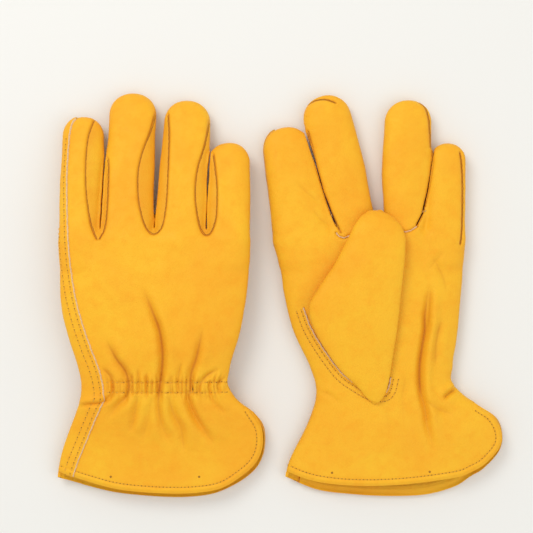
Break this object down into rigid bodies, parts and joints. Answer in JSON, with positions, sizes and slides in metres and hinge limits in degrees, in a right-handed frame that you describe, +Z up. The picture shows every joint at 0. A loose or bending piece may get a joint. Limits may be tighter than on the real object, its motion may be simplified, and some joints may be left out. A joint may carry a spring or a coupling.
{
  "type": "pair of leather work gloves",
  "caption": "Pair of hollow leather work gloves with a folded keystone thumb, elastic wrist and turned cuff, with bending fingers",
  "frame": {"origin": "on the table, under the middle of the pair", "axes": "+X across the pair, from the right-hand glove to the left-hand one; +Y along the fingers; +Z up from the table"},
  "size_m": [0.2863, 0.259, 0.0295],
  "materials": {
    "leather": "soft matt grain leather",
    "thread": "matt twisted thread",
    "elastic": "woven elastic"
  },
  "bodies": {
    "right_hand": {"right_palm_panel": "leather", "right_back_panel": "leather", "right_finger_fork": "leather", "right_palm_hem": "leather", "right_back_hem": "leather", "right_elastic_band": "elastic", "right_elastic_stitches": "thread", "right_lap_stitches": "thread", "right_thumb_stitches": "thread", "right_hem_stitches": "thread"},
    "right_index": {"right_index_tip_back": "leather", "right_index_tip_front": "leather", "right_index_tip_stitches": "thread"},
    "right_middle": {"right_middle_tip_back": "leather", "right_middle_tip_front": "leather"},
    "right_ring": {"right_ring_tip_back": "leather", "right_ring_tip_front": "leather"},
    "right_little": {"right_little_tip_back": "leather", "right_little_tip_front": "leather"},
    "right_thumb": {"right_thumb_outer": "leather", "right_thumb_inner": "leather"},
    "left_hand": {"left_palm_panel": "leather", "left_back_panel": "leather", "left_finger_fork": "leather", "left_palm_hem": "leather", "left_back_hem": "leather", "left_elastic_band": "elastic", "left_elastic_stitches": "thread", "left_lap_stitches": "thread", "left_thumb_stitches": "thread", "left_hem_stitches": "thread"},
    "left_index": {"left_index_tip_back": "leather", "left_index_tip_front": "leather", "left_index_tip_stitches": "thread"},
    "left_middle": {"left_middle_tip_back": "leather", "left_middle_tip_front": "leather"},
    "left_ring": {"left_ring_tip_back": "leather", "left_ring_tip_front": "leather"},
    "left_little": {"left_little_tip_back": "leather", "left_little_tip_front": "leather"},
    "left_thumb": {"left_thumb_outer": "leather", "left_thumb_inner": "leather"}
  },
  "joints": [
    {"name": "left_glove_slide", "type": "slide", "parent": "right_hand", "child": "left_hand", "axis": [1, 0, 0], "range_m": [0, 0.12]},
    {"name": "right_index_bend", "type": "hinge", "parent": "right_hand", "child": "right_index", "pos_m": [-0.12728, 0.07177, 0.00664], "axis": [-0.9997, 0.0256, 0], "range_deg": [0, 90]},
    {"name": "right_middle_bend", "type": "hinge", "parent": "right_hand", "child": "right_middle", "pos_m": [-0.09649, 0.08177, 0.00524], "axis": [-0.9992, 0.0395, 0], "range_deg": [0, 90]},
    {"name": "right_ring_bend", "type": "hinge", "parent": "right_hand", "child": "right_ring", "pos_m": [-0.06193, 0.07977, 0.00552], "axis": [-0.9987, 0.0516, 0], "range_deg": [0, 90]},
    {"name": "right_little_bend", "type": "hinge", "parent": "right_hand", "child": "right_little", "pos_m": [-0.03255, 0.06377, 0.00775], "axis": [-0.9999, 0.0162, 0], "range_deg": [0, 90]},
    {"name": "right_thumb_swing", "type": "hinge", "parent": "right_hand", "child": "right_thumb", "pos_m": [-0.107, -0.0517, 0.01045], "axis": [-0.6949, 0.7191, 0], "range_deg": [0, 75]},
    {"name": "left_index_bend", "type": "hinge", "parent": "left_hand", "child": "left_index", "pos_m": [0.00986, 0.06885, 0.01581], "axis": [0.981, 0.194, 0], "range_deg": [0, 90]},
    {"name": "left_middle_bend", "type": "hinge", "parent": "left_hand", "child": "left_middle", "pos_m": [0.0416, 0.08085, 0.01574], "axis": [0.975, 0.222, 0], "range_deg": [0, 90]},
    {"name": "left_ring_bend", "type": "hinge", "parent": "left_hand", "child": "left_ring", "pos_m": [0.07966, 0.07885, 0.01575], "axis": [0.9999, -0.016, 0], "range_deg": [0, 90]},
    {"name": "left_little_bend", "type": "hinge", "parent": "left_hand", "child": "left_little", "pos_m": [0.10732, 0.06485, 0.01584], "axis": [0.998, -0.0634, 0], "range_deg": [0, 90]},
    {"name": "left_thumb_swing", "type": "hinge", "parent": "left_hand", "child": "left_thumb", "pos_m": [0.039, -0.0498, 0.01441], "axis": [0.6949, -0.7191, 0], "range_deg": [0, 75]}
  ]
}
